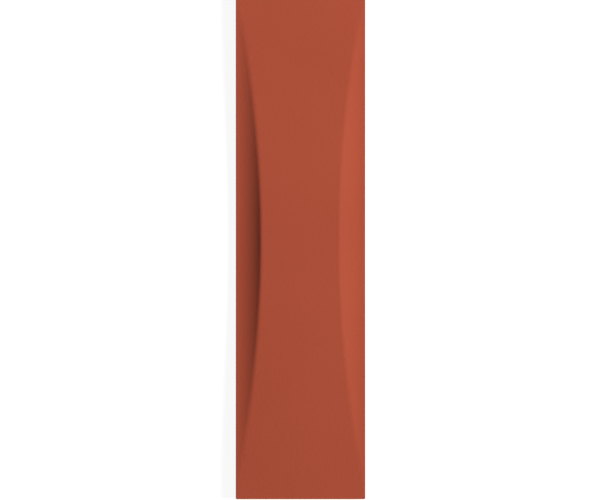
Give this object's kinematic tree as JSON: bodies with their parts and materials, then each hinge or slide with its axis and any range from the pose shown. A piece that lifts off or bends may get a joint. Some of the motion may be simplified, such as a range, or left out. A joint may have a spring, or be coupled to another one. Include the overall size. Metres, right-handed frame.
{
  "type": "ceramic wall tile",
  "caption": "Slim ceramic wall tile with a flat face that two long side scoops narrow to an hourglass, and a keyed back for adhesive.",
  "frame": {"origin": "middle of the back, on the plane of the ribs that the adhesive grips", "axes": "+X across the tile, +Y along the tile, +Z out of its face"},
  "size_m": [0.05, 0.2, 0.012],
  "materials": {
    "matte_glaze": "matte"
  },
  "bodies": {
    "root": {"wall_tile": "matte_glaze"}
  },
  "joints": []
}
